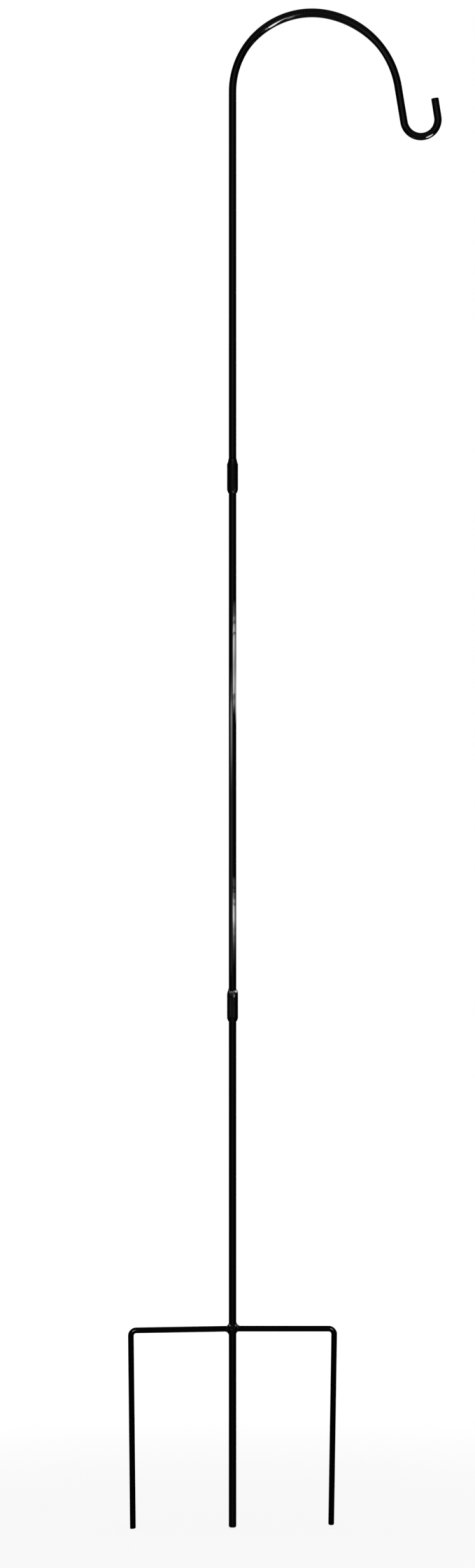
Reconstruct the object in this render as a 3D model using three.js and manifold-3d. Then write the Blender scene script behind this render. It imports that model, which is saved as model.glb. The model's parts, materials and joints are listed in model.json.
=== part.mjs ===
// Shepherd's hook: a garden pole of round steel rod in three sections. The top section is bent into a wide
// crook that ends in a small upturned hook. The bottom section carries a fork of three prongs for the soil.
// The sections plug into two sleeves. Millimetres, +Z up, with the crook and the fork in the XZ plane.
// The origin is on the pole's axis at the ground line, which is the underside of the fork's crossbar.
import * as THREE from 'three';
import { mergeVertices } from 'three/addons/utils/BufferGeometryUtils.js';
import Module from 'manifold-3d';

const wasm = await Module();
wasm.setup();

// Rods
const poleDiameter = 10;
const prongDiameter = 7.6;
const stakeRodLength = 717;
const middleRodLength = 720;
const rodEndChamfer = 0.8;
const footRounding = 2;

// Crook and hook, measured along the rod's centreline
const crookStraightLength = 522.8;
const crookRiseRadius = 108.8;
const crookRiseAngle = 99.6;
const crookFallRadius = 121.7;
const crookFallAngle = 71;
const crookArmLength = 49.9;
const hookRadius = 23.4;
const hookAngle = 179.5;
const hookTipLength = 26;

// Sleeves: a socket from each end, with a web between them
const sleeveDiameter = 14.8;
const sleeveLength = 40.4;
const lowerSocketDepth = 24;
const sleeveWebThickness = 3;
const sleeveMouthWall = 0.5;
const sleeveMouthTaper = 4.2;
const sleeveRimChamfer = 0.5;
const socketClearance = 0.3;
const seatClearance = 0.3;

// Weld beads over the sleeves
const beadLipWall = 0.3;
const beadRimSetback = 0.5;
const hookBeadHeight = 7;
const middleBeadHeight = 4.5;

// Fork: the droop tilts an arm down towards its end, and the lean tilts a prong's foot in towards the pole
const prongOffset = 139.3;
const prongBendRadius = 7.5;
const centreProngDepth = 268.4;
const leftProng = { side: -1, droop: 1, lean: 0.6, depth: 270.4 };
const rightProng = { side: 1, droop: 0, lean: 0.9, depth: 265.2 };

// Welds between the fork's arms and the pole
const armWeldReach = 8.4;
const armWeldHalfHeight = 10;
const armWeldHalfDepth = 5;
const armWeldLip = 0.3;
const armWeldStartShare = 0.5;
const weldClearance = 0.3;

// Fineness of the round shapes
const rodSides = 24;
const bendStepDegrees = 6;
const tightBendStepDegrees = 10;
const roundingSteps = 4;
const filletSteps = 6;

const poleRadius = poleDiameter / 2;
const prongRadius = prongDiameter / 2;
const sleeveRadius = sleeveDiameter / 2;
const boreRadius = poleRadius + socketClearance;
const crossbarHeight = prongRadius;
const upperSocketDepth = sleeveLength - lowerSocketDepth - sleeveWebThickness;

// Heights on the pole's axis, from the centre prong's foot up
const stakeRodTop = stakeRodLength - centreProngDepth;
const lowerSleeveBottom = stakeRodTop + seatClearance - lowerSocketDepth;
const middleRodBottom = lowerSleeveBottom + lowerSocketDepth + sleeveWebThickness + seatClearance;
const middleRodTop = middleRodBottom + middleRodLength;
const upperSleeveBottom = middleRodTop + seatClearance - lowerSocketDepth;
const hookRodBottom = upperSleeveBottom + lowerSocketDepth + sleeveWebThickness + seatClearance;

const rodPaint = { color: '#0c0d0d', roughness: 0.32, metalness: 0.1 };
const sleevePaint = { color: '#0e0f0e', roughness: 0.36, metalness: 0.1 };
const weldPaint = { color: '#0b0c0c', roughness: 0.24, metalness: 0.1 };

// A rod's centreline in the XZ plane, drawn as a walk of straight runs and round bends. The angles are in
// degrees: 0 points along +X and 90 points up, and a positive bend turns left.
class RodPath extends THREE.Curve {
  constructor(start, heading) {
    super();
    this.here = start.clone();
    this.heading = heading;
    this.stations = [];
    this.mark();
  }

  forward() {
    const angle = THREE.MathUtils.degToRad(this.heading);
    return new THREE.Vector3(Math.cos(angle), 0, Math.sin(angle));
  }

  mark() {
    this.stations.push({ point: this.here.clone(), tangent: this.forward() });
  }

  run(length) {
    this.here.addScaledVector(this.forward(), length);
    this.mark();
    return this;
  }

  bend(radius, degrees, stepDegrees) {
    const steps = Math.max(1, Math.round(Math.abs(degrees) / stepDegrees));
    const turn = degrees / steps;
    const chord = 2 * radius * Math.sin(THREE.MathUtils.degToRad(Math.abs(turn) / 2));
    for (let step = 0; step < steps; step += 1) {
      this.heading += turn / 2;
      this.here.addScaledVector(this.forward(), chord);
      this.heading += turn / 2;
      this.mark();
    }
    return this;
  }

  stationAt(share) {
    return this.stations[Math.round(share * (this.stations.length - 1))];
  }

  getPointAt(share) {
    return this.stationAt(share).point.clone();
  }

  getTangentAt(share) {
    return this.stationAt(share).tangent.clone();
  }
}

function rodAlong(path, radius) {
  const corners = [];
  for (let side = 0; side < rodSides; side += 1) {
    const angle = (2 * Math.PI * side) / rodSides;
    corners.push(new THREE.Vector2(radius * Math.cos(angle), radius * Math.sin(angle)));
  }
  const steps = path.stations.length - 1;
  return new THREE.ExtrudeGeometry(new THREE.Shape(corners), { steps, extrudePath: path });
}

// Turns a profile of [radius, height] pairs round the Z axis.
function turned(profile) {
  const points = profile.map(([radius, height]) => new THREE.Vector2(radius, height));
  return new THREE.LatheGeometry(points, rodSides).rotateX(Math.PI / 2);
}

function closedProfile(profile) {
  return [...profile, profile[0]];
}

// A closed geometry as a solid that can be joined and cut, and back.
function toSolid(geometry) {
  const bare = geometry.clone();
  bare.deleteAttribute('normal');
  bare.deleteAttribute('uv');
  const merged = mergeVertices(bare);
  const corners = [];
  for (let first = 0; first < merged.index.count; first += 3) {
    const [a, b, c] = [first, first + 1, first + 2].map((index) => merged.index.getX(index));
    if (a !== b && b !== c && c !== a) corners.push(a, b, c);
  }
  const vertProperties = new Float32Array(merged.getAttribute('position').array);
  return new wasm.Manifold(new wasm.Mesh({ numProp: 3, vertProperties, triVerts: new Uint32Array(corners) }));
}

function fromSolid(solid) {
  const { vertProperties, triVerts } = solid.getMesh();
  const geometry = new THREE.BufferGeometry();
  geometry.setAttribute('position', new THREE.BufferAttribute(vertProperties, 3));
  geometry.setIndex(new THREE.BufferAttribute(triVerts, 1));
  geometry.computeVertexNormals();
  return geometry;
}

// The space that a straight rod takes up, for a clearance cut round it.
function rodSpace(radius, bottom, top) {
  return turned([[0, bottom], [radius, bottom], [radius, top], [0, top]]);
}

function hookRod() {
  const path = new RodPath(new THREE.Vector3(0, 0, 0), 90);
  path.run(crookStraightLength);
  path.bend(crookRiseRadius, -crookRiseAngle, bendStepDegrees);
  path.bend(crookFallRadius, -crookFallAngle, bendStepDegrees);
  path.run(crookArmLength);
  path.bend(hookRadius, hookAngle, tightBendStepDegrees);
  path.run(hookTipLength);
  return rodAlong(path, poleRadius);
}

// A straight rod that stands on z = 0, with its foot rounded or chamfered and its top chamfered.
function straightRod(length, foot) {
  const inner = poleRadius - rodEndChamfer;
  return turned([[0, 0], ...foot, [poleRadius, length - rodEndChamfer], [inner, length], [0, length]]);
}

function middleRod() {
  return straightRod(middleRodLength, [[poleRadius - rodEndChamfer, 0], [poleRadius, rodEndChamfer]]);
}

function stakeRod() {
  const foot = [];
  for (let step = 0; step <= roundingSteps; step += 1) {
    const angle = (Math.PI / 2) * (step / roundingSteps);
    const radius = poleRadius - footRounding * (1 - Math.sin(angle));
    foot.push([radius, footRounding * (1 - Math.cos(angle))]);
  }
  return straightRod(stakeRodLength, foot);
}

function sleeve() {
  const webBottom = lowerSocketDepth;
  const webTop = sleeveLength - upperSocketDepth;
  return turned([
    [0, webBottom],
    [boreRadius, webBottom],
    [boreRadius, 0],
    [boreRadius + sleeveMouthWall, 0],
    [sleeveRadius, sleeveMouthTaper],
    [sleeveRadius, sleeveLength - sleeveRimChamfer],
    [sleeveRadius - sleeveRimChamfer, sleeveLength],
    [boreRadius, sleeveLength],
    [boreRadius, webTop],
    [0, webTop],
  ]);
}

// A bead round the pole whose hollow flank runs from the sleeve's rim up to a thin lip on the rod.
function rodBead(height) {
  const inner = poleRadius + weldClearance;
  const lip = inner + beadLipWall;
  const rim = sleeveRadius - beadRimSetback;
  const profile = [[inner, 0]];
  for (let step = 0; step <= filletSteps; step += 1) {
    const share = step / filletSteps;
    profile.push([lip + (rim - lip) * (1 - share) ** 2, height * share]);
  }
  profile.push([inner, height]);
  return turned(closedProfile(profile));
}

// Points from the pole's axis out along one of the fork's arms.
function armHeading(prong) {
  return prong.side > 0 ? -prong.droop : 180 + prong.droop;
}

function prongGeometry(prong) {
  const bendAngle = 90 - prong.droop + prong.lean;
  const tangentLength = prongBendRadius * Math.tan(THREE.MathUtils.degToRad(bendAngle / 2));
  const armLength = prongOffset / Math.cos(THREE.MathUtils.degToRad(prong.droop));
  const path = new RodPath(new THREE.Vector3(0, 0, crossbarHeight), armHeading(prong));
  path.run(armLength - tangentLength);
  path.bend(prongBendRadius, -prong.side * bendAngle, tightBendStepDegrees);
  path.run((path.here.z + prong.depth) / Math.cos(THREE.MathUtils.degToRad(prong.lean)));
  return rodAlong(path, prongRadius);
}

// The arm's end is coped, so that it meets the round of the pole.
function sideProng(prong) {
  const pole = rodSpace(poleRadius + weldClearance, -sleeveLength, sleeveLength);
  return fromSolid(toSolid(prongGeometry(prong)).subtract(toSolid(pole)));
}

// A collar round the arm that spreads into a tall oval against the pole.
function armWeld(prong) {
  const start = poleRadius * armWeldStartShare;
  const reach = poleRadius + armWeldReach;
  const lip = prongRadius + weldClearance + armWeldLip;
  const profile = [[0, start], [armWeldHalfHeight, start]];
  for (let step = 0; step <= filletSteps; step += 1) {
    const share = step / filletSteps;
    profile.push([lip + (armWeldHalfHeight - lip) * (1 - share) ** 2, poleRadius + armWeldReach * share]);
  }
  profile.push([0, reach]);
  const collar = turned(profile);
  const points = collar.getAttribute('position');
  for (let index = 0; index < points.count; index += 1) {
    const share = (points.getZ(index) - start) / (reach - start);
    const depthShare = THREE.MathUtils.lerp(armWeldHalfDepth / armWeldHalfHeight, 1, share);
    points.setY(index, points.getY(index) * depthShare);
  }
  collar.rotateY(Math.PI / 2 - THREE.MathUtils.degToRad(armHeading(prong)));
  collar.translate(0, 0, crossbarHeight);
  const armPath = new RodPath(new THREE.Vector3(0, 0, crossbarHeight), armHeading(prong)).run(prongOffset);
  const arm = rodAlong(armPath, prongRadius + weldClearance);
  const pole = rodSpace(poleRadius + weldClearance, -sleeveLength, sleeveLength);
  return fromSolid(toSolid(collar).subtract(toSolid(arm)).subtract(toSolid(pole)));
}

function piece(name, geometry, paint, height) {
  const mesh = new THREE.Mesh(geometry, new THREE.MeshStandardMaterial(paint));
  mesh.name = name;
  mesh.position.z = height;
  return mesh;
}

const hookSection = new THREE.Group();
hookSection.position.z = hookRodBottom;
hookSection.add(piece('hook_rod', hookRod(), rodPaint, 0));
hookSection.add(piece('hook_rod_bead', rodBead(hookBeadHeight), weldPaint, upperSocketDepth));

const middleSection = new THREE.Group();
middleSection.position.z = middleRodBottom;
middleSection.add(piece('middle_rod', middleRod(), rodPaint, 0));
middleSection.add(piece('middle_rod_bead', rodBead(middleBeadHeight), weldPaint, upperSocketDepth));

const stakeSection = new THREE.Group();
stakeSection.add(piece('stake_rod', stakeRod(), rodPaint, -centreProngDepth));
stakeSection.add(piece('left_prong', sideProng(leftProng), rodPaint, 0));
stakeSection.add(piece('right_prong', sideProng(rightProng), rodPaint, 0));
stakeSection.add(piece('left_prong_weld', armWeld(leftProng), weldPaint, 0));
stakeSection.add(piece('right_prong_weld', armWeld(rightProng), weldPaint, 0));

const shepherdsHook = new THREE.Group();
shepherdsHook.add(hookSection, middleSection, stakeSection);
shepherdsHook.add(piece('upper_sleeve', sleeve(), sleevePaint, upperSleeveBottom));
shepherdsHook.add(piece('lower_sleeve', sleeve(), sleevePaint, lowerSleeveBottom));

export default shepherdsHook;
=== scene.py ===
import json
import math

import bmesh
import bpy
from mathutils import Matrix, Vector, noise

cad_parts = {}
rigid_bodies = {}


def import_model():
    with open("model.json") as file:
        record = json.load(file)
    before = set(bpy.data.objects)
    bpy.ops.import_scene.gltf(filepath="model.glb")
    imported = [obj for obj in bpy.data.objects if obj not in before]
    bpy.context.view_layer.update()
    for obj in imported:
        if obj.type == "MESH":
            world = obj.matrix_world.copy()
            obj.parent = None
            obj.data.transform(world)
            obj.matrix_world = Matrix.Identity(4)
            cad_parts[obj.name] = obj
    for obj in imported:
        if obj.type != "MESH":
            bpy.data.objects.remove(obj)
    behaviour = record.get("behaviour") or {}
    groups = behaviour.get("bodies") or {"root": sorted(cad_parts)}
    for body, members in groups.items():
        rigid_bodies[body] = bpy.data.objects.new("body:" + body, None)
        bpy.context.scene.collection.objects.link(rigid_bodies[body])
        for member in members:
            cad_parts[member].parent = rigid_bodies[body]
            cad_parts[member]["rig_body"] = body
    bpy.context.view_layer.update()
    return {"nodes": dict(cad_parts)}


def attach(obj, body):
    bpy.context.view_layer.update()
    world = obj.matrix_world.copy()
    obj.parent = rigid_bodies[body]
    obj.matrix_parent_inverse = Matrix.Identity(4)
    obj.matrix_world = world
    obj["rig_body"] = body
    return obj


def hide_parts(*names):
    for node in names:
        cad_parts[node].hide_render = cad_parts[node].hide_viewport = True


# Shepherd's hook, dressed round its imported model. The pole's axis is x = y = 0 and the ground line is z = 0.
# Shapes are drawn in millimetres and scaled to metres when a piece is made.
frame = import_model()
mm = 0.001
paint = 0.2                 # how thick the enamel lies on the bare rods
sleevePaint = paint * 0.8   # and on the sleeves


viewpoint = {
    "distance": 6.5,        # from the pole, looking along +Y
    "sideways": 0.0068,
    "height": 0.750,
    "frameHeight": 2.1482,  # how much the picture's long side takes in at the pole
    "sensor": 36.0,
    "clip": (0.1, 100),
}


def addCamera():
    lens = bpy.data.cameras.new("viewCamera")
    lens.sensor_width = viewpoint["sensor"]
    lens.lens = viewpoint["sensor"] * viewpoint["distance"] / viewpoint["frameHeight"]
    lens.clip_start, lens.clip_end = viewpoint["clip"]
    camera = bpy.data.objects.new("viewCamera", lens)
    camera.location = (viewpoint["sideways"], -viewpoint["distance"], viewpoint["height"])
    camera.rotation_euler = (math.radians(90), 0, 0)
    bpy.context.scene.collection.objects.link(camera)
    bpy.context.scene.camera = camera


addCamera()
print("camera placed")


# Noise sizes are in bumps per metre, depths in metres.
rodFinish = {
    "dark": (0.0016, 0.0017, 0.0016, 1), "light": (0.0034, 0.0036, 0.0033, 1),
    "smooth": 0.045, "rough": 0.075,
    "peelSize": 170, "peelDepth": 0.000018,
    "grainSize": 1100, "grainDepth": 0.0000008,
    "nibSize": 240, "nibShare": 0.04, "nibDepth": 0.000008,
}
sleeveFinish = {
    "dark": (0.0018, 0.0021, 0.0018, 1), "light": (0.0042, 0.0047, 0.0040, 1),
    "smooth": 0.13, "rough": 0.21,
    "peelSize": 260, "peelDepth": 0.000012,
    "grainSize": 1500, "grainDepth": 0.000002,
    "nibSize": 280, "nibShare": 0.04, "nibDepth": 0.00001,
}
weldFinish = {
    "dark": (0.0016, 0.0018, 0.0016, 1), "light": (0.0048, 0.0052, 0.0044, 1),
    "smooth": 0.09, "rough": 0.18,
    "peelSize": 420, "peelDepth": 0.000009,
    "grainSize": 2200, "grainDepth": 0.0000015,
    "nibSize": 400, "nibShare": 0.05, "nibDepth": 0.00001,
}
dullerSleeve = {"smooth": 0.27, "rough": 0.36}                      # the upper sleeve's paint is less glossy
flatterFork = {"specular": 0.16, "smooth": 0.07, "rough": 0.11}     # and the side prongs shine back less

# What all the finishes share. A range is where the noise passes from one value to the other.
enamelLook = {
    "ior": 1.5, "specular": 0.5,
    "toneSize": 35, "toneDetail": 4, "toneRange": (0.35, 0.68),
    "glossSize": 90, "glossDetail": 3, "glossRange": (0.35, 0.7),
    "peelDetail": 1.5, "grainDetail": 2,
    "nibFoot": 3,           # how many times its top's width a nib's foot is
    "nibDullness": 0.08,
}


# Baked black enamel: a soft peel, a fine grain, and a few dust nibs under the gloss.
def blackEnamel(name, finish):
    look = enamelLook
    enamel = bpy.data.materials.new(name)
    enamel.use_nodes = True
    nodes, links = enamel.node_tree.nodes, enamel.node_tree.links
    shader = nodes["Principled BSDF"]
    shader.inputs["IOR"].default_value = look["ior"]
    shader.inputs["Specular IOR Level"].default_value = finish.get("specular", look["specular"])
    place = nodes.new("ShaderNodeTexCoord").outputs["Object"]

    def mottle(size, detail):
        cloud = nodes.new("ShaderNodeTexNoise")
        cloud.inputs["Scale"].default_value = size
        cloud.inputs["Detail"].default_value = detail
        links.new(place, cloud.inputs["Vector"])
        return cloud.outputs["Fac"]

    def ranged(source, between, ends):
        spread = nodes.new("ShaderNodeMapRange")
        spread.interpolation_type = "SMOOTHSTEP"
        for socket, value in zip(("From Min", "From Max", "To Min", "To Max"), (*between, *ends)):
            spread.inputs[socket].default_value = value
        links.new(source, spread.inputs["Value"])
        return spread.outputs["Result"]

    def bumped(height, depth, under=None):
        bump = nodes.new("ShaderNodeBump")
        bump.inputs["Strength"].default_value = 1
        bump.inputs["Distance"].default_value = depth
        links.new(height, bump.inputs["Height"])
        if under:
            links.new(under, bump.inputs["Normal"])
        return bump.outputs["Normal"]

    # Thin and thick paint differ a little in tone.
    tone = nodes.new("ShaderNodeMix")
    tone.data_type = "RGBA"
    tone.inputs["A"].default_value = finish["dark"]
    tone.inputs["B"].default_value = finish["light"]
    thickness = ranged(mottle(look["toneSize"], look["toneDetail"]), look["toneRange"], (0, 1))
    links.new(thickness, tone.inputs["Factor"])
    links.new(tone.outputs["Result"], shader.inputs["Base Color"])

    # Dust nibs: the middles of scattered small cells.
    cells = nodes.new("ShaderNodeTexVoronoi")
    cells.inputs["Scale"].default_value = finish["nibSize"]
    links.new(place, cells.inputs["Vector"])
    nibTop = finish["nibShare"]
    nibs = ranged(cells.outputs["Distance"], (nibTop, nibTop * look["nibFoot"]), (1, 0))

    cloudy = mottle(look["glossSize"], look["glossDetail"])
    gloss = ranged(cloudy, look["glossRange"], (finish["smooth"], finish["rough"]))
    duller = nodes.new("ShaderNodeMath")
    duller.operation = "MULTIPLY_ADD"
    duller.inputs[1].default_value = look["nibDullness"]
    links.new(nibs, duller.inputs[0])
    links.new(gloss, duller.inputs[2])
    links.new(duller.outputs["Value"], shader.inputs["Roughness"])

    peel = bumped(mottle(finish["peelSize"], look["peelDetail"]), finish["peelDepth"])
    grain = bumped(mottle(finish["grainSize"], look["grainDetail"]), finish["grainDepth"], peel)
    links.new(bumped(nibs, finish["nibDepth"], grain), shader.inputs["Normal"])
    return enamel


rodEnamel = blackEnamel("rodEnamel", rodFinish)
forkEnamel = blackEnamel("forkEnamel", {**rodFinish, **flatterFork})
sleeveEnamel = blackEnamel("sleeveEnamel", sleeveFinish)
weldEnamel = blackEnamel("weldEnamel", weldFinish)
upperSleeveEnamel = blackEnamel("upperSleeveEnamel", {**sleeveFinish, **dullerSleeve})
shoulderEnamel = blackEnamel("shoulderEnamel", sleeveFinish)
print("finishes mixed")


# Skins rows of points into one closed shell. A row of one point closes an end. With loop, the last row is
# joined to the first.
def skinRows(rows, loop=False):
    shell = bmesh.new()
    made = [[shell.verts.new(point) for point in row] for row in rows]
    for near, far in zip(made, made[1:] + made[:1]):
        if far is made[0] and not loop:
            break
        count = max(len(near), len(far))
        for side in range(count):
            after = (side + 1) % count
            corners = [near[side], near[after]] if len(near) > 1 else [near[0]]
            corners += [far[after], far[side]] if len(far) > 1 else [far[0]]
            shell.faces.new(corners)
    bmesh.ops.recalc_face_normals(shell, faces=shell.faces)
    shell.normal_update()
    return shell


# Edges that turn by more than the crease, in degrees, are shaded sharp.
def addPiece(name, shell, node, enamel, crease=38):
    bmesh.ops.scale(shell, verts=shell.verts, vec=(mm, mm, mm))
    mesh = bpy.data.meshes.new(name)
    shell.to_mesh(mesh)
    shell.free()
    mesh.shade_smooth()
    mesh.set_sharp_from_angle(angle=math.radians(crease))
    mesh.materials.append(enamel)
    piece = bpy.data.objects.new(name, mesh)
    bpy.context.scene.collection.objects.link(piece)
    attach(piece, frame["nodes"][node]["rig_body"])
    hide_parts(node)
    print("made", name, "with", len(mesh.polygons), "faces")


seedStep = (7.3, 3.1, 5.7)      # how far apart two seeds read the noise


# Uneven paint and metal: a smooth wave between -1 and 1 that depends on the place alone.
def uneven(point, size, seed):
    return noise.noise(Vector(point) / size + Vector([seed * step for step in seedStep]))


# A smooth hump, 1 at its middle and 0 at its edge.
def hump(distance):
    return (1 - distance ** 2) ** 2 if distance < 1 else 0


def ahead(heading):
    return Vector((math.cos(math.radians(heading)), 0, math.sin(math.radians(heading))))


# A rod's centreline in the XZ plane, walked as straight runs and round bends. Heading 0 points along +X and
# heading 90 up.
def walkRod(start, heading, moves, runStep=6, bendStep=2):
    here = Vector(start)
    stations = [(here, heading)]
    for move in moves:
        if "run" in move:
            steps = max(1, round(move["run"] / runStep))
            for step in range(steps):
                here = here + ahead(heading) * move["run"] / steps
                stations.append((here, heading))
        else:
            steps = max(1, round(abs(move["bend"]) / move.get("step", bendStep)))
            turn = move["bend"] / steps
            chord = 2 * move["radius"] * math.sin(math.radians(abs(turn) / 2))
            for step in range(steps):
                heading += turn / 2
                here = here + ahead(heading) * chord
                heading += turn / 2
                stations.append((here, heading))
    return stations


# One round of the rod's skin. Walking along the rod, a slant below 0 shortens its left side, and a swelling
# thickens its right.
def rodRow(centre, heading, radius, rod, slant=0):
    along, across = ahead(heading), ahead(heading + 90)
    swelling = 0
    if "swelling" in rod:
        swelling = rod["swelling"] * hump(max((rod["swellTop"] - centre.z) / rod["swellOver"], 0))
    row = []
    for side in range(rod["sides"]):
        angle = 2 * math.pi * side / rod["sides"]
        reach = radius * (1 + rod["wave"] * uneven(centre, rod["waveSize"], rod["seed"]))
        reach += swelling * (1 - math.cos(angle)) / 2
        offset = across * math.cos(angle) + Vector((0, math.sin(angle), 0))
        row.append(centre + offset * reach + along * slant * (math.cos(angle) * radius + radius) / 2)
    return row


endMiddle = 0.001           # the ring that closes to a rod end's middle point
endRings = (0.45, 0.85)     # and the rings round it, as shares of the flat's radius


def rodShell(stations, rod):
    radius = rod["diameter"] / 2 + paint
    rows = []

    def addEnd(centre, heading, rounding, inward, slant=0):
        inner = radius - rounding
        face = [(centre, endMiddle)] + [(centre, inner * share) for share in endRings]
        for step in range(rod["edgeSteps"] + 1):
            angle = math.pi / 2 * step / rod["edgeSteps"]
            back = ahead(heading) * inward * rounding * (1 - math.cos(angle))
            face.append((centre + back, inner + rounding * math.sin(angle)))
        made = [rodRow(place, heading, reach, rod, slant) for place, reach in face]
        made[0] = [sum(made[0], Vector()) / len(made[0])]
        return made if inward > 0 else made[::-1]

    rows += addEnd(*stations[0], rod["startRounding"], 1)
    for centre, heading in stations[1:-1]:
        rows.append(rodRow(centre, heading, radius, rod))
    rows += addEnd(*stations[-1], rod["endRounding"], -1, rod.get("endSlant", 0))
    return skinRows(rows)


hookRodSize = {
    "diameter": 10, "sides": 40, "edgeSteps": 5,
    "startRounding": 0.8, "endRounding": 1.0,
    "wave": 0.004, "waveSize": 22, "seed": 1,
    "swelling": 1.9, "swellTop": 1808, "swellOver": 52,  # a little thicker inside the crook's top
    "bottom": 1175.8,
    "moves": [
        {"run": 522.8},
        {"bend": -99.6, "radius": 108.8},                # the crook, rising
        {"bend": -71, "radius": 121.7},                  # and falling
        {"run": 49.9},
        {"bend": 179.5, "radius": 23.4, "step": 4},      # the hook itself
        {"run": 26},
    ],
}
middleRodSize = {
    "diameter": 10, "sides": 40, "edgeSteps": 5,
    "startRounding": 0.8, "endRounding": 0.8,
    "wave": 0.004, "waveSize": 24, "seed": 2,
    "bottom": 452.2, "length": 720,
}
stakeRodSize = {
    "diameter": 10, "sides": 40, "edgeSteps": 6,
    "startRounding": 2.2, "endRounding": 0.8,
    "wave": 0.004, "waveSize": 24, "seed": 3,
    "bottom": -268.4, "length": 717,
}

hookStations = walkRod((0, 0, hookRodSize["bottom"]), 90, hookRodSize["moves"])
addPiece("hookRod", rodShell(hookStations, hookRodSize), "hook_rod", rodEnamel)

for name, node, rod in (("middleRod", "middle_rod", middleRodSize), ("stakeRod", "stake_rod", stakeRodSize)):
    stations = walkRod((0, 0, rod["bottom"]), 90, [{"run": rod["length"]}])
    addPiece(name, rodShell(stations, rod), node, rodEnamel)

# The fork's side prongs. Each starts inside the stake rod, where its weld hides the end.
forkSize = {
    "diameter": 7.6, "sides": 36, "edgeSteps": 5,
    "startRounding": 0.5, "wave": 0.006, "waveSize": 18,
    "armStart": 3, "armHeight": 3.8, "prongOffset": 139.3, "bendRadius": 7.5, "bendStep": 5,
    "left": {
        "side": -1, "droop": 1.0, "lean": 0.6, "depth": 270.4,
        "endRounding": 1.1, "endSlant": -0.2, "seed": 4,
    },
    "right": {
        "side": 1, "droop": 0.0, "lean": 0.9, "depth": 265.2,
        "endRounding": 2.3, "endSlant": 0, "seed": 5,
    },
}


def prongStations(prong):
    side, droop, lean = prong["side"], math.radians(prong["droop"]), math.radians(prong["lean"])
    heading = -prong["droop"] if side > 0 else 180 + prong["droop"]
    bend = 90 - prong["droop"] + prong["lean"]
    tangent = forkSize["bendRadius"] * math.tan(math.radians(bend / 2))
    arm = forkSize["prongOffset"] / math.cos(droop) - tangent
    start = Vector((0, 0, forkSize["armHeight"])) + ahead(heading) * forkSize["armStart"]
    moves = [
        {"run": arm - forkSize["armStart"]},
        {"bend": -side * bend, "radius": forkSize["bendRadius"], "step": forkSize["bendStep"]},
    ]
    corner = walkRod(start, heading, moves)[-1][0]
    return walkRod(start, heading, moves + [{"run": (corner.z + prong["depth"]) / math.cos(lean)}])


for name, node in (("leftProng", "left_prong"), ("rightProng", "right_prong")):
    prong = forkSize[name.replace("Prong", "")]
    addPiece(name, rodShell(prongStations(prong), {**forkSize, **prong}), node, forkEnamel)


# Rounds the corners of a profile of (radius, height, rounding) points.
def roundedProfile(points, steps=4):
    profile = []
    beside = zip([points[0]] + points, points, points[1:] + [points[-1]])
    for before, (radius, height, rounding), after in beside:
        corner = Vector((radius, height))
        if not rounding:
            profile.append(corner)
            continue
        near = corner + (Vector(before[:2]) - corner).normalized() * rounding
        far = corner + (Vector(after[:2]) - corner).normalized() * rounding
        for step in range(steps + 1):
            share = step / steps
            profile.append(near * (1 - share) ** 2 + corner * 2 * share * (1 - share) + far * share ** 2)
    return profile


# Adds points so that no step of a profile is longer than gap says for its height.
def finer(profile, gap):
    made = [profile[0]]
    for point in profile[1:]:
        start = made[-1].copy()
        steps = max(1, math.ceil((point - start).length / gap((point.y + start.y) / 2)))
        made += [start.lerp(point, step / steps) for step in range(1, steps + 1)]
    return made


# Turns a profile round the Z axis. grow(angle, radius, height) gives how far the skin stands out from it.
# Angle 0 is the front, and 90 the side that the crook reaches out to. A point closer to the axis than onAxis
# closes the shell.
def turnedShell(profile, sides, bottom, grow, loop=False, onAxis=0.01):
    rows = []
    for radius, height in profile:
        if radius < onAxis:
            rows.append([Vector((0, 0, bottom + height))])
            continue
        row = []
        for side in range(sides):
            angle = 360 * side / sides
            reach = radius + grow(angle, radius, height)
            turn = math.radians(angle)
            row.append(Vector((reach * math.sin(turn), -reach * math.cos(turn), bottom + height)))
        rows.append(row)
    return skinRows(rows, loop)


def angleGap(one, other):
    return (one - other + 180) % 360 - 180


rippleShape = {"wander": 0.35, "wanderSize": 6, "roundness": 1.5}


# Weld metal that has frozen as slanting ripples, with single drops beside them.
def weldHeight(angle, height, radius, weld):
    around = math.radians(angle)
    place = (radius * math.sin(around), -radius * math.cos(around), height)
    wander = rippleShape["wander"] * uneven(place, rippleShape["wanderSize"], weld["seed"])
    phase = angle / 360 * weld["ripples"] + height * weld["slant"] + wander
    ripple = 1 - abs(2 * (phase % 1) - 1) ** rippleShape["roundness"]
    lump = uneven(place, weld["lumpSize"], weld["seed"] + 1)
    made = weld["rippleDepth"] * ripple + weld["lumpDepth"] * lump
    for drop in weld["drops"]:
        sideways = math.radians(angleGap(angle, drop["angle"])) * radius / (drop["width"] / 2)
        upwards = (height - drop["height"]) / (drop["tall"] / 2)
        made += drop["rise"] * hump(math.hypot(sideways, upwards))
    return made


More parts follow.
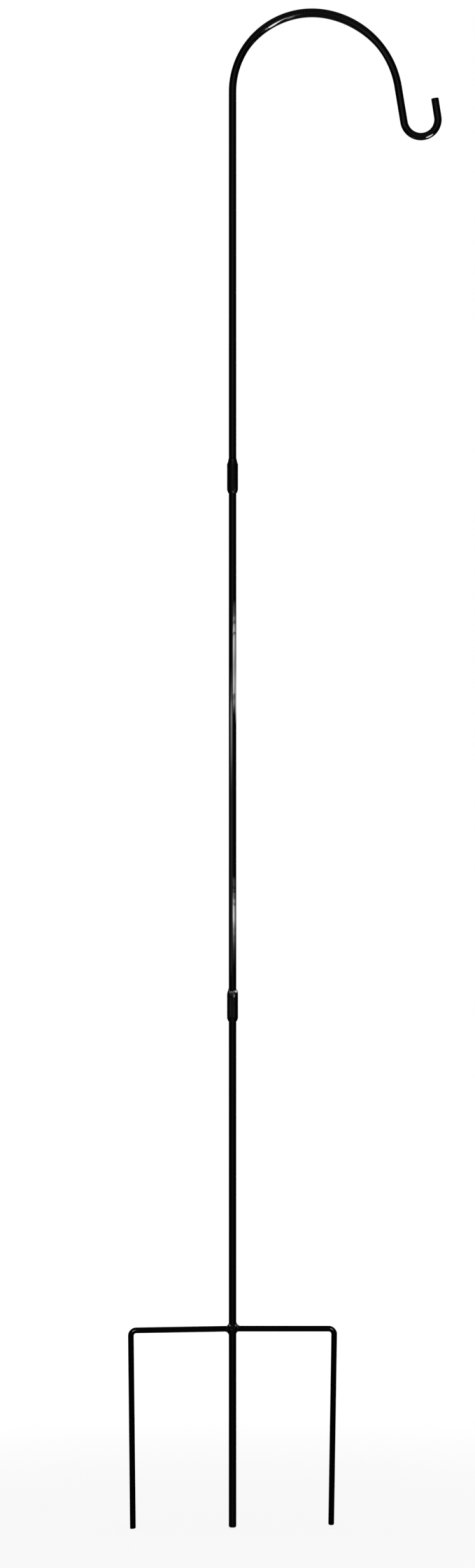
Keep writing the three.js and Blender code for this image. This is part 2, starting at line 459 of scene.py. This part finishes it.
sleeveSize = {
    "radius": 7.4, "length": 40.4, "bore": 5.3,
    "lowerSocket": 24, "web": 3,
    "mouthRadius": 5.8, "mouthTaper": 4.2,
    "edgeRounding": 0.2, "webRounding": 0.3,
    "unevenness": 0.03, "unevenSize": 9,        # of the paint
    "bareMargin": 0.25,                         # the bore is bare, and so is this much of its rim
    "leastWall": 0.3,
    "facePaint": 0.5,                           # how much of the paint lies on the sleeve's ends
    "plainStep": 2.5,                           # the profile's longest step
    "weldFrom": 28, "weldStep": 0.6,            # and from these heights up, on the sleeve with the weld
    "shoulderFrom": 35, "shoulderStep": 0.3,
}
upperSleeveLook = {
    "bottom": 1148.5, "sides": 72, "mouthRounding": 1.8,
    "rimRadius": 7.15, "rimDrop": 0.7, "rimRounding": 0.35,
    "weld": None,
}
lowerSleeveLook = {
    "bottom": 424.9, "sides": 120, "mouthRounding": 1.1,
    "rimRadius": 7.4, "rimDrop": 0.6, "rimRounding": 0,
    "weldTop": 5, "weldFade": 3.5,              # ripples start so far under the top, and rise over so much
    "weld": {
        "ripples": 5, "slant": 0.12, "rippleDepth": 0.1, "lumpDepth": 0.1, "lumpSize": 5, "seed": 11,
        "drops": [
            {"angle": 20, "height": 32.7, "width": 7.2, "tall": 7.4, "rise": 0.68},     # under the bead
            {"angle": 120, "height": 36.0, "width": 5, "tall": 5, "rise": 0.3},
            {"angle": 215, "height": 34.5, "width": 6, "tall": 7, "rise": 0.3},
        ],
    },
}

# The lower coupling's welded shoulder, which the sleeve and the bead share. It leaves the rod at the top
# height and widens by the slope on the way down. Heights are above the ground line, and angle 0 is the front.
shoulderSize = {
    "rod": 5.15, "widest": 7.4,
    "sideBlend": 80, "leastWeight": 0.0001,     # degrees over which one side passes into the next
}
shoulderSides = [
    {"angle": -92, "top": 470.8, "slope": 0.31},
    {"angle": -20, "top": 467.6, "slope": 0.65},
    {"angle": 40, "top": 467.8, "slope": 0.8},
    {"angle": 92, "top": 469.4, "slope": 1.1},
    {"angle": 180, "top": 469.5, "slope": 0.55},
]

# Flats where the weld froze smooth. Each faces an angle, leans back by a tilt, and passes through a radius at
# a height.
shoulderFlats = [
    {"angle": 48, "tilt": 37, "radius": 7.4, "height": 463.9},
    {"angle": -20, "tilt": 30, "radius": 7.4, "height": 462.4},
]
dropFlat = {"angle": 16, "tilt": 6, "radius": 7.68, "height": 458.1, "rounding": 0.2}

# Slanting valleys between them. A valley's angle holds at the sleeve's top, and its lean is how far it turns
# per millimetre.
valleyHeights = {"middle": 464.6, "reach": 4, "sleeveTop": 465.3}
shoulderValleys = [
    {"angle": 2, "lean": 5, "width": 16, "depth": 0.4},
    {"angle": -46, "lean": 7, "width": 24, "depth": 0.4},
    {"angle": 112, "lean": 3, "width": 24, "depth": 0.3},
]


# The smaller of two reaches, with the edge between them rounded off.
def softer(one, other, rounding=0.6):
    return min(one, other) - max(rounding - abs(one - other), 0) ** 2 / (4 * rounding)


# How far out a flat lies. Where it faces away it is out of reach.
def flatReach(flat, angle, height, leastFacing=0.1, outOfReach=99):
    toward = math.cos(math.radians(angleGap(angle, flat["angle"])))
    if toward <= leastFacing:
        return outOfReach
    lean = math.tan(math.radians(flat["tilt"]))
    return (flat["radius"] - (height - flat["height"]) * lean) / toward


# How far out the shoulder's skin lies.
def shoulderReach(angle, height):
    nearby = []
    for side in shoulderSides:
        away = abs(angleGap(angle, side["angle"])) / shoulderSize["sideBlend"]
        nearby.append((hump(min(away, 1)) + shoulderSize["leastWeight"], side))
    whole = sum(weight for weight, side in nearby)
    top = sum(weight * side["top"] for weight, side in nearby) / whole
    slope = sum(weight * side["slope"] for weight, side in nearby) / whole
    reach = softer(shoulderSize["rod"] + (top - height) * slope, shoulderSize["widest"] + sleevePaint)
    for flat in shoulderFlats:
        reach = softer(reach, flatReach(flat, angle, height))
    near = hump(min(abs(height - valleyHeights["middle"]) / valleyHeights["reach"], 1))
    for valley in shoulderValleys:
        turned = angleGap(angle, valley["angle"] + valley["lean"] * (height - valleyHeights["sleeveTop"]))
        reach -= near * valley["depth"] * hump(abs(turned) / valley["width"])
    return reach


def sleeveShell(look):
    size, weld = sleeveSize, look["weld"]
    edge, webEdge = size["edgeRounding"], size["webRounding"]
    webTop = size["lowerSocket"] + size["web"]
    points = [
        (0, size["lowerSocket"], 0),
        (size["bore"], size["lowerSocket"], webEdge),
        (size["bore"], 0, edge),
        (size["mouthRadius"], 0, edge),
        (size["radius"], size["mouthTaper"], look["mouthRounding"]),
        (size["radius"], size["length"] - look["rimDrop"], look["rimRounding"]),
        (look["rimRadius"], size["length"], edge),
        (size["bore"], size["length"], edge),
        (size["bore"], webTop, webEdge),
        (0, webTop, 0),
    ]

    def gap(height):
        if weld and height > size["weldFrom"]:
            return size["shoulderStep"] if height > size["shoulderFrom"] else size["weldStep"]
        return size["plainStep"]

    def grow(angle, radius, height):
        if radius < size["bore"] + size["bareMargin"]:
            return 0
        turn = math.radians(angle)
        place = (radius * math.sin(turn), radius * math.cos(turn), height)
        made = sleevePaint + size["unevenness"] * uneven(place, size["unevenSize"], look["bottom"] / 100)
        if weld and height > size["mouthTaper"]:
            share = min(max((height - size["length"] + look["weldTop"]) / look["weldFade"], 0), 1)
            drops = weldHeight(angle, height, radius, {**weld, "rippleDepth": 0, "lumpDepth": 0})
            made += drops + (weldHeight(angle, height, radius, weld) - drops) * share
            made = min(made, shoulderReach(angle, look["bottom"] + height) - radius + drops)
            beyond = flatReach(dropFlat, angle, look["bottom"] + height) - radius
            made = softer(made, beyond, dropFlat["rounding"])
        if radius < size["mouthRadius"]:
            made *= size["facePaint"]
        return max(made, size["bore"] + size["leastWall"] - radius)

    return turnedShell(finer(roundedProfile(points), gap), look["sides"], look["bottom"], grow)


addPiece("upperSleeve", sleeveShell(upperSleeveLook), "upper_sleeve", upperSleeveEnamel)
addPiece("lowerSleeve", sleeveShell(lowerSleeveLook), "lower_sleeve", sleeveEnamel)

# The upper bead is a smooth cone. The lower one carries on the shoulder.
hookBeadSize = {
    "bottom": 1188.95, "height": 8.3, "inner": 4.7, "toe": 5.16, "rim": 7.1, "hollow": 1.25,
    "sides": 96, "steps": 16, "topFade": 2.5, "onShoulder": False,
    "weld": {
        "ripples": 13, "slant": 0.02, "rippleDepth": 0.05, "lumpDepth": 0.16, "lumpSize": 3.5, "seed": 21,
        "drops": [],
    },
}
middleBeadSize = {
    "bottom": 465.31, "height": 6.2, "inner": 4.7, "toe": 5.05,
    "sides": 120, "steps": 26, "topFade": 2.5, "bottomFade": 3, "onShoulder": True,
    "weld": {
        "ripples": 5, "slant": 0.12, "rippleDepth": 0.1, "lumpDepth": 0.12, "lumpSize": 4.5, "seed": 31,
        "drops": [
            {"angle": 84, "height": 5.3, "width": 3.4, "tall": 2.6, "rise": 0.5},       # a spatter on the rod
        ],
    },
}


def beadShell(bead):
    onShoulder = bead["onShoulder"]
    flank = []
    for step in range(bead["steps"] + 1):
        share = step / bead["steps"]
        widening = 0 if onShoulder else (bead["rim"] - bead["toe"]) * (1 - share) ** bead["hollow"]
        flank.append(Vector((bead["toe"] + widening, bead["height"] * share)))
    profile = [Vector((bead["inner"], 0))] + flank + [Vector((bead["inner"], bead["height"]))]

    def grow(angle, radius, height):
        if radius <= bead["inner"]:
            return 0
        share = height / bead["height"]
        fade = min(1, (1 - share) * bead["topFade"], share * bead["bottomFade"] if onShoulder else 1)
        made = weldHeight(angle, height, radius, bead["weld"]) * fade
        if onShoulder:
            reach = shoulderReach(angle, bead["bottom"] + height)
            onto = min(reach, shoulderSize["widest"] + paint) - radius
            made = max(made + onto, 0 if reach < radius else made)
        return made

    return turnedShell(profile, bead["sides"], bead["bottom"], grow, loop=True)


addPiece("hookRodBead", beadShell(hookBeadSize), "hook_rod_bead", weldEnamel)
addPiece("middleRodBead", beadShell(middleBeadSize), "middle_rod_bead", shoulderEnamel)


armWeldSize = {
    "pole": 5, "arm": 3.8, "sides": 112, "steps": 24,
    "proud": 0.06,                              # how far the toes stand off the rods
    "wrap": 97,                                 # how far round the stake it reaches, in degrees from the arm
    "square": 0.75,                             # how full its foot's corners are: 0 is round and 1 square
    "ragged": 0.07, "raggedRound": 6, "raggedSize": 3,  # how uneven its outline is, and how finely
    "buried": 0.5, "buriedBack": 0.1,           # its hidden inside, in the rods
    "cornerBack": 0.7, "footShare": 0.985,
    "stakeFade": 5, "armFade": 2,               # how fast the ripples rise from either toe
    "edgeShare": 0.3,                           # and how much of them is left at the top and the bottom
    "wander": 0.5, "wanderSize": 5, "slant": 0.8, "roundness": 1.6,
    "crown": 0.5, "crownAt": 0.3, "crownOver": 0.5,     # how far it stands out at the stake's front and back
    "lumpLift": 0.35,
    "left": {
        "top": 7.8, "bottom": 9.8, "reachTop": 4.0, "reachBottom": 5.5, "fat": 0.3,
        "ripples": 7, "rippleDepth": 0.2, "lumpDepth": 0.5, "lumpSize": 3.6, "seed": 41,
        "drops": [
            {"out": 2.8, "up": 3.6, "size": 3.2, "rise": 1.2},
            {"out": 6.2, "up": -1.5, "size": 2.0, "rise": 0.35},
        ],
        "flat": {"out": 3.0, "front": 5.35, "up": 4.2},
    },
    "right": {
        "top": 10.2, "bottom": 7.4, "reachTop": 6.0, "reachBottom": 3.0, "fat": 0.3,
        "ripples": 7, "rippleDepth": 0.2, "lumpDepth": 0.5, "lumpSize": 3.6, "seed": 43,
        "drops": [
            {"out": 3.7, "up": 3.4, "size": 3.0, "rise": 1.1},
            {"out": 2.0, "up": -3.5, "size": 2.2, "rise": 0.4},
        ],
        "flat": {"out": 3.9, "front": 5.0, "up": 4.0},
    },
}

# The upper drop of each weld froze flat, facing outwards, forwards and up.
flatFacing = Vector((0.42, -0.73, 0.545)).normalized()
flatSize = 4


# The weld is drawn on the +X arm and turned over to its own side.
def armWeldShell(prong, weld):
    size = armWeldSize
    rows = [[] for row in range(size["steps"] + 4)]
    for side in range(size["sides"]):
        angle = 2 * math.pi * side / size["sides"]
        up, front = math.cos(angle), math.sin(angle)
        share = 0.5 + 0.5 * up
        full = max(abs(up), abs(front)) ** size["square"]
        around = (up * size["raggedRound"], front * size["raggedRound"], 0)
        ragged = 1 + size["ragged"] * uneven(around, size["raggedSize"], weld["seed"])
        tall = (weld["bottom"] + (weld["top"] - weld["bottom"]) * share) * ragged
        reach = (weld["reachBottom"] + (weld["reachTop"] - weld["reachBottom"]) * share) * ragged
        wrap = math.radians(size["wrap"]) * front / full

        def onPole(radius, shrink=1):
            turn = wrap * shrink
            return Vector((radius * math.cos(turn), -radius * math.sin(turn), tall * up / full * shrink))

        def onArm(radius, out):
            return Vector((out, -radius * front, radius * up))

        corner = onArm(size["arm"], math.sqrt(size["pole"] ** 2 - (size["arm"] * front) ** 2))
        poleToe = onPole(size["pole"] + size["proud"])
        armToe = onArm(size["arm"] + size["proud"], size["pole"] + reach)
        middle = corner.lerp((poleToe + armToe) / 2, weld["fat"])
        for step in range(size["steps"] + 1):
            part = step / size["steps"]
            rows[step].append(poleToe * (1 - part) ** 2 + middle * 2 * part * (1 - part) + armToe * part ** 2)
        inside = size["arm"] - size["buried"]
        rows[-3].append(onArm(inside, size["pole"] + reach - size["buriedBack"]))
        rows[-2].append(onArm(inside, corner.x - size["cornerBack"]))
        rows[-1].append(onPole(size["pole"] - size["buried"], size["footShare"]))
    shell = skinRows(rows, loop=True)
    shell.verts.ensure_lookup_table()

    flat = Vector((weld["flat"]["out"], -weld["flat"]["front"], weld["flat"]["up"]))
    for step in range(size["steps"] + 1):
        part = step / size["steps"]
        for side in range(size["sides"]):
            vert = shell.verts[step * size["sides"] + side]
            facing = math.sin(2 * math.pi * side / size["sides"]) ** 2
            fade = min(1, part * size["stakeFade"], (1 - part) * size["armFade"])
            fade *= size["edgeShare"] + (1 - size["edgeShare"]) * facing
            wander = size["wander"] * uneven(vert.co, size["wanderSize"], weld["seed"] + 1)
            phase = side / size["sides"] * weld["ripples"] + wander + part * size["slant"]
            ripple = 1 - abs(2 * (phase % 1) - 1) ** size["roundness"]
            lump = uneven(vert.co, weld["lumpSize"], weld["seed"] + 2) + size["lumpLift"]
            crown = size["crown"] * facing * hump(abs(part - size["crownAt"]) / size["crownOver"])
            grown = fade * (weld["rippleDepth"] * ripple + weld["lumpDepth"] * lump) + crown
            for drop in weld["drops"]:
                if vert.co.y < 0:
                    away = math.hypot(vert.co.x - drop["out"], vert.co.z - drop["up"])
                    grown += drop["rise"] * hump(away / drop["size"])
            vert.co += vert.normal * grown
            beyond = (vert.co - flat).dot(flatFacing)
            if beyond > 0 and (vert.co - flat).length < flatSize:
                vert.co -= flatFacing * beyond

    tilt = Matrix.Rotation(math.radians(prong["droop"]), 3, "Y")
    for vert in shell.verts:
        vert.co = tilt @ vert.co
        vert.co.x *= prong["side"]
        vert.co.z += forkSize["armHeight"]
    bmesh.ops.recalc_face_normals(shell, faces=shell.faces)
    return shell


for name, node in (("leftProngWeld", "left_prong_weld"), ("rightProngWeld", "right_prong_weld")):
    side = name.replace("ProngWeld", "")
    addPiece(name, armWeldShell(forkSize[side], armWeldSize[side]), node, weldEnamel)


floorLook = {
    "height": -0.2706, "radius": 9, "sides": 96,
    "tone": 0.24, "roughness": 0.9,
    "glowNear": 0.88, "glowFar": 1.0, "fadeFrom": 0.3, "fadeTo": 1.8,
}


def addFloor():
    shell = bmesh.new()
    bmesh.ops.create_circle(shell, cap_ends=True, radius=floorLook["radius"], segments=floorLook["sides"])
    mesh = bpy.data.meshes.new("paleFloor")
    shell.to_mesh(mesh)
    shell.free()
    floor = bpy.data.objects.new("paleFloor", mesh)
    floor.location.z = floorLook["height"]
    bpy.context.scene.collection.objects.link(floor)
    floor.visible_glossy = False
    floor.visible_diffuse = False
    card = bpy.data.materials.new("paleCard")
    card.use_nodes = True
    nodes, links = card.node_tree.nodes, card.node_tree.links
    shader = nodes["Principled BSDF"]
    tone = floorLook["tone"]
    shader.inputs["Base Color"].default_value = (tone, tone, tone, 1)
    shader.inputs["Roughness"].default_value = floorLook["roughness"]
    shader.inputs["Specular IOR Level"].default_value = 0
    shader.inputs["Emission Color"].default_value = (1, 1, 1, 1)
    reach = nodes.new("ShaderNodeVectorMath")
    reach.operation = "LENGTH"
    links.new(nodes.new("ShaderNodeTexCoord").outputs["Object"], reach.inputs[0])
    fade = nodes.new("ShaderNodeMapRange")
    fade.interpolation_type = "SMOOTHSTEP"
    fade.inputs["From Min"].default_value = floorLook["fadeFrom"]
    fade.inputs["From Max"].default_value = floorLook["fadeTo"]
    fade.inputs["To Min"].default_value = floorLook["glowNear"]
    fade.inputs["To Max"].default_value = floorLook["glowFar"]
    links.new(reach.outputs["Value"], fade.inputs["Value"])
    links.new(fade.outputs["Result"], shader.inputs["Emission Strength"])
    mesh.materials.append(card)


# A white room to the eye. In the gloss it is dark, with a broad soft light on the front side, which gets its
# brightness from how far up the gloss looks, and a weaker one behind. Both widen where it looks up or down.
roomLook = {
    "white": 1.0, "ambient": 0.12, "gaps": 0.006,
    "narrowing": 4.2,       # how tightly the soft lights keep to the front and the back
    "widening": 2.7,        # how fast they widen where the gloss looks up or down
    "behind": 0.35,
    "levels": [             # upwardness, brightness
        (-1.0, 0.10), (-0.45, 0.10), (-0.3, 0.05), (-0.16, 0.09), (-0.125, 0.095), (-0.07, 0.12),
        (0.0, 0.18), (0.07, 0.21), (0.18, 0.25), (0.3, 0.06), (0.45, 0.07), (1.0, 0.09),
    ],
    "overheadPlace": (0, -0.6, 4.2), "overheadFacing": (0, 0.12, -1),
    "overheadSide": 3.2, "overheadBright": 0.9,
}


# A colour ramp that gives the brightness of the nearest stops, each a (place, brightness) pair.
def brightnessRamp(nodes, stops, placeOf, top):
    ramp = nodes.new("ShaderNodeValToRGB")
    marks = ramp.color_ramp.elements
    while len(marks) < len(stops):
        marks.new(0.5)
    for mark, (place, bright) in zip(list(marks), sorted(stops)):
        mark.position = min(max(placeOf(place), 0), 1)
        share = bright / top
        mark.color = (share, share, share, 1)
    return ramp


def addRoom():
    room = bpy.data.worlds.new("studioRoom")
    bpy.context.scene.world = room
    room.use_nodes = True
    room.cycles.sampling_method = "NONE"
    nodes, links = room.node_tree.nodes, room.node_tree.links
    ray = nodes.new("ShaderNodeLightPath")
    toward = nodes.new("ShaderNodeSeparateXYZ")
    links.new(nodes.new("ShaderNodeTexCoord").outputs["Generated"], toward.inputs[0])

    def feed(socket, value):
        if isinstance(value, (int, float)):
            socket.default_value = value
        else:
            links.new(value, socket)

    def work(operation, *values):
        step = nodes.new("ShaderNodeMath")
        step.operation = operation
        for socket, value in zip(step.inputs, values):
            feed(socket, value)
        return step.outputs["Value"]

    def either(switch, off, on):
        choice = nodes.new("ShaderNodeMix")
        links.new(switch, choice.inputs["Factor"])
        feed(choice.inputs["A"], off)
        feed(choice.inputs["B"], on)
        return choice.outputs["Result"]

    across, deep = toward.outputs["X"], toward.outputs["Y"]
    depth = work("MULTIPLY", deep, deep)
    level = work("ADD", work("MULTIPLY", across, across), depth)
    narrowing = work("MULTIPLY", work("POWER", level, roomLook["widening"]), roomLook["narrowing"])
    aboveZero = work("ADD", level, 0.0001)
    lobe = work("POWER", work("DIVIDE", depth, aboveZero), narrowing)
    inFront = work("MULTIPLY", lobe, work("LESS_THAN", deep, 0))
    lobeBehind = work("MULTIPLY", lobe, work("GREATER_THAN", deep, 0))
    behind = work("MULTIPLY", lobeBehind, work("MULTIPLY", level, roomLook["behind"]))
    ramp = brightnessRamp(nodes, roomLook["levels"], lambda up: up * 0.5 + 0.5, 1)
    links.new(work("MULTIPLY_ADD", toward.outputs["Z"], 0.5, 0.5), ramp.inputs["Fac"])
    bothSides = work("MULTIPLY_ADD", inFront, ramp.outputs["Color"], behind)
    inGloss = work("ADD", bothSides, roomLook["gaps"])

    unseen = either(ray.outputs["Is Glossy Ray"], roomLook["ambient"], inGloss)
    strength = either(ray.outputs["Is Camera Ray"], unseen, roomLook["white"])
    links.new(strength, nodes["Background"].inputs["Strength"])
    nodes["Background"].inputs["Color"].default_value = (1, 1, 1, 1)


def addPanel(name, centre, facing, wide, tall, bright, spread=180, upright=Vector((0, 0, 1))):
    glow = bpy.data.lights.new(name, "AREA")
    glow.shape = "RECTANGLE"
    glow.size, glow.size_y = wide, tall
    glow.energy = bright * math.pi * wide * tall
    glow.spread = math.radians(spread)
    if spread < 180:
        # A narrower spread crowds the light forward, so less of it gives the same brightness head on.
        half = math.radians(spread / 2)
        glow.energy *= 1 - half / math.tan(half)
    panel = bpy.data.objects.new(name, glow)
    back = -Vector(facing).normalized()
    across = upright.cross(back).normalized()
    turn = Matrix((across, back.cross(across), back)).transposed()
    panel.matrix_world = Matrix.Translation(Vector(centre)) @ turn.to_4x4()
    panel.visible_camera = False
    bpy.context.scene.collection.objects.link(panel)
    return panel


# Upright light panels close to the pole, which show as the streaks in its gloss. Angle 0 is the front and 90
# the crook's side. around gives (angle, share of the brightness), and along (height on the pole, brightness).
streaks = {
    "upperStreak": {
        "turn": 68, "away": 0.12, "wide": 0.66, "spread": 166,
        "around": [
            (-1, 0), (7, 0.25), (15, 0.85), (26, 1), (45, 1), (55, 0.7), (72, 0.33), (100, 0.24), (125, 0.14),
            (134, 0),
        ],
        "along": [
            (1.002, 0), (0.998, 0.5), (0.993, 1.2), (0.982, 1.7), (0.979, 5.4), (0.974, 5), (0.9725, 2.4),
            (0.9705, 2.6), (0.969, 9), (0.959, 13), (0.9583, 3), (0.956, 2.2), (0.9552, 11), (0.948, 13.5),
            (0.936, 13.5), (0.924, 10.8), (0.9125, 9.4), (0.902, 10), (0.890, 13), (0.875, 11), (0.8735, 3.6),
            (0.867, 3.4), (0.865, 5.4), (0.861, 5), (0.856, 2.2), (0.8515, 0.9), (0.846, 0),
        ],
    },
    "rightEdge": {
        "turn": 118, "away": 0.12, "wide": 0.36, "spread": 150,
        "around": [(78, 0), (95, 0.8), (120, 1), (150, 0.6), (168, 0)],
        "along": [(0.930, 0), (0.905, 1), (0.888, 2.2), (0.868, 3.4), (0.852, 3.2), (0.843, 1.4), (0.832, 0)],
    },
    "leftStreak": {
        "turn": -38, "away": 0.15, "wide": 0.34, "spread": 160,
        "around": [(-72, 0), (-62, 0.35), (-50, 0.95), (-28, 1), (-15, 0.6), (-2, 0.2), (6, 0)],
        "along": [
            (0.910, 0), (0.890, 0.5), (0.878, 1.2), (0.866, 1.8), (0.861, 3.4), (0.842, 5), (0.828, 4.2),
            (0.809, 3.6), (0.785, 2.3), (0.770, 1.2), (0.741, 0.4), (0.60, 0.3), (0.50, 0.3), (0.485, 0),
        ],
    },
    "lowerStreak": {
        "turn": 68, "away": 0.12, "wide": 0.66, "spread": 166,
        "around": [
            (-6, 0), (3, 0.3), (12, 0.9), (22, 1), (45, 1), (55, 0.5), (72, 0.2), (100, 0.13), (125, 0.065),
            (134, 0),
        ],
        "along": [
            (0.622, 0), (0.619, 1.2), (0.6095, 1.5), (0.608, 0.2), (0.606, 0.2), (0.6045, 2.6), (0.603, 0.3),
            (0.6012, 0.3), (0.600, 4.4), (0.5965, 3), (0.592, 4), (0.591, 10), (0.587, 10), (0.586, 4.5),
            (0.5835, 4.5), (0.5825, 14), (0.569, 15.5), (0.5645, 16), (0.5595, 11), (0.555, 8), (0.550, 5),
            (0.545, 5.6), (0.5405, 2.8), (0.5355, 3), (0.529, 1.4), (0.522, 0.7), (0.512, 0.4), (0.50, 0),
        ],
    },
    "couplingLeft": {
        "turn": -48, "away": 0.14, "wide": 0.2, "spread": 150,
        "around": [(-72, 0), (-62, 0.6), (-48, 1), (-34, 0.6), (-20, 0)],
        "along": [(0.460, 0), (0.455, 0.3), (0.434, 0.36), (0.424, 0)],
    },
    "couplingRight": {
        "turn": 36, "away": 0.14, "wide": 0.2, "spread": 150,
        "around": [(12, 0), (24, 0.7), (36, 1), (48, 0.7), (62, 0)],
        "along": [(0.452, 0), (0.445, 0.22), (0.434, 0.3), (0.424, 0)],
    },
}


def addStreak(name, streak):
    # The view climbs a little between the pole and the panel.
    eye = viewpoint["height"]
    slope = 1 + streak["away"] / viewpoint["distance"]
    heights = [eye + (height - eye) * slope for height, bright in streak["along"]]
    brights = [bright for height, bright in streak["along"]]
    bottom, top = min(heights), max(heights)
    turn = math.radians(streak["turn"])
    outward = Vector((math.sin(turn), -math.cos(turn), 0))
    centre = outward * streak["away"]
    centre.z = (bottom + top) / 2
    panel = addPanel(name, centre, -outward, streak["wide"], top - bottom, max(brights), streak["spread"])
    panel.visible_diffuse = False
    glow = panel.data
    glow.use_nodes = True
    nodes, links = glow.node_tree.nodes, glow.node_tree.links
    place = nodes.new("ShaderNodeSeparateXYZ")
    links.new(nodes.new("ShaderNodeNewGeometry").outputs["Parametric"], place.inputs[0])
    around = brightnessRamp(
        nodes, streak["around"],
        lambda angle: 0.5 + math.tan(math.radians(angle) - turn) * streak["away"] / streak["wide"], 1)
    along = brightnessRamp(
        nodes, list(zip(heights, brights)),
        lambda height: (height - bottom) / (top - bottom), max(brights))
    links.new(place.outputs["X"], around.inputs["Fac"])
    links.new(place.outputs["Y"], along.inputs["Fac"])
    both = nodes.new("ShaderNodeMath")
    both.operation = "MULTIPLY"
    links.new(around.outputs["Color"], both.inputs[0])
    links.new(along.outputs["Color"], both.inputs[1])
    links.new(both.outputs["Value"], nodes["Emission"].inputs["Strength"])


# Small lights that give single glints. Each stands off from its glint along a direction and shines back at
# it. spread is the width of its beam in degrees, and usualSpread where none is given.
usualSpread = 40
glints = {
    "crookGlint": {
        "glint": (0.057, -0.0045, 1.79), "along": (0.452, -0.586, -0.675), "away": 0.25,
        "size": (0.015, 0.29), "bright": 21, "spread": 80,
    },
    "crookGlintTail": {
        "glint": (0.081, -0.0045, 1.799), "along": (0.278, -0.557, -0.784), "away": 0.25,
        "size": (0.011, 0.18), "bright": 2.6, "spread": 80,
    },
    "crookFarGlow": {
        "glint": (0.191, -0.005, 1.766), "along": (-0.508, -0.807, -0.316), "away": 0.4,
        "size": (0.12, 0.4), "bright": 0.4, "spread": 60,
    },
    "rightShoulderGlint": {
        "glint": (0.005, -0.004, 0.4655), "along": (0.666, 0.4, 0.63), "away": 0.25,
        "size": (0.10, 0.08), "bright": 5.8,
    },
    "leftShoulderGlint": {
        "glint": (-0.002, -0.006, 0.464), "along": (-0.495, -0.361, 0.791), "away": 0.25,
        "size": (0.14, 0.12), "bright": 4.6,
    },
    "dropGlint": {
        "glint": (0.002, -0.0075, 0.4581), "along": (0.52, -0.84, 0.158), "away": 0.03,
        "size": (0.007, 0.034), "bright": 3.4, "spread": 24,
    },
    "rightBendGlint": {
        "glint": (0.136, -0.003, 0.004), "along": (0.27, -0.90, 0.33), "away": 0.3,
        "size": (0.09, 0.11), "bright": 30,
    },
    "leftBendGlint": {
        "glint": (-0.134, -0.004, 0.001), "along": (-0.19, -0.96, 0.18), "away": 0.25,
        "size": (0.05, 0.09), "bright": 24,
    },
    "leftWeldGlint": {
        "glint": (-0.003, -0.006, 0.009), "along": (-0.629, -0.09, 0.773), "away": 0.25,
        "size": (0.10, 0.12), "bright": 2,
    },
    "rightWeldGlint": {
        "glint": (0.003, -0.006, 0.009), "along": (0.629, -0.09, 0.773), "away": 0.25,
        "size": (0.10, 0.12), "bright": 1.3,
    },
    "upperBeadGlint": {
        "glint": (0, -0.006, 1.19), "along": (0.08, -0.78, 0.62), "away": 0.25,
        "size": (0.3, 0.07), "bright": 0.4, "spread": 74,
    },
    "upperMouthGlint": {
        "glint": (0.003, -0.0065, 1.1526), "along": (0.724, -0.629, -0.284), "away": 0.25,
        "size": (0.12, 0.09), "bright": 1.1,
    },
    "hookGlint": {
        "glint": (0.2695, -0.0045, 1.637), "along": (0.48, -0.46, -0.74), "away": 0.08,
        "size": (0.044, 0.072), "bright": 17, "spread": 60,
    },
}


def addGlint(name, glint):
    direction = Vector(glint["along"]).normalized()
    place = Vector(glint["glint"]) + direction * glint["away"]
    spread = glint.get("spread", usualSpread)
    panel = addPanel(name, place, -direction, *glint["size"], glint["bright"], spread, Vector((0, 1, 0)))
    panel.data.shape = "ELLIPSE"
    panel.visible_diffuse = False


def addLights():
    for name, streak in streaks.items():
        addStreak(name, streak)
    for name, glint in glints.items():
        addGlint(name, glint)
    side = roomLook["overheadSide"]
    overhead = addPanel("overheadSoft", roomLook["overheadPlace"], roomLook["overheadFacing"], side, side,
                        roomLook["overheadBright"], upright=Vector((0, 1, 0)))
    overhead.visible_glossy = False


addFloor()
addRoom()
addLights()
bpy.context.scene.view_settings.view_transform = "Standard"
print("floor, room and lights ready")
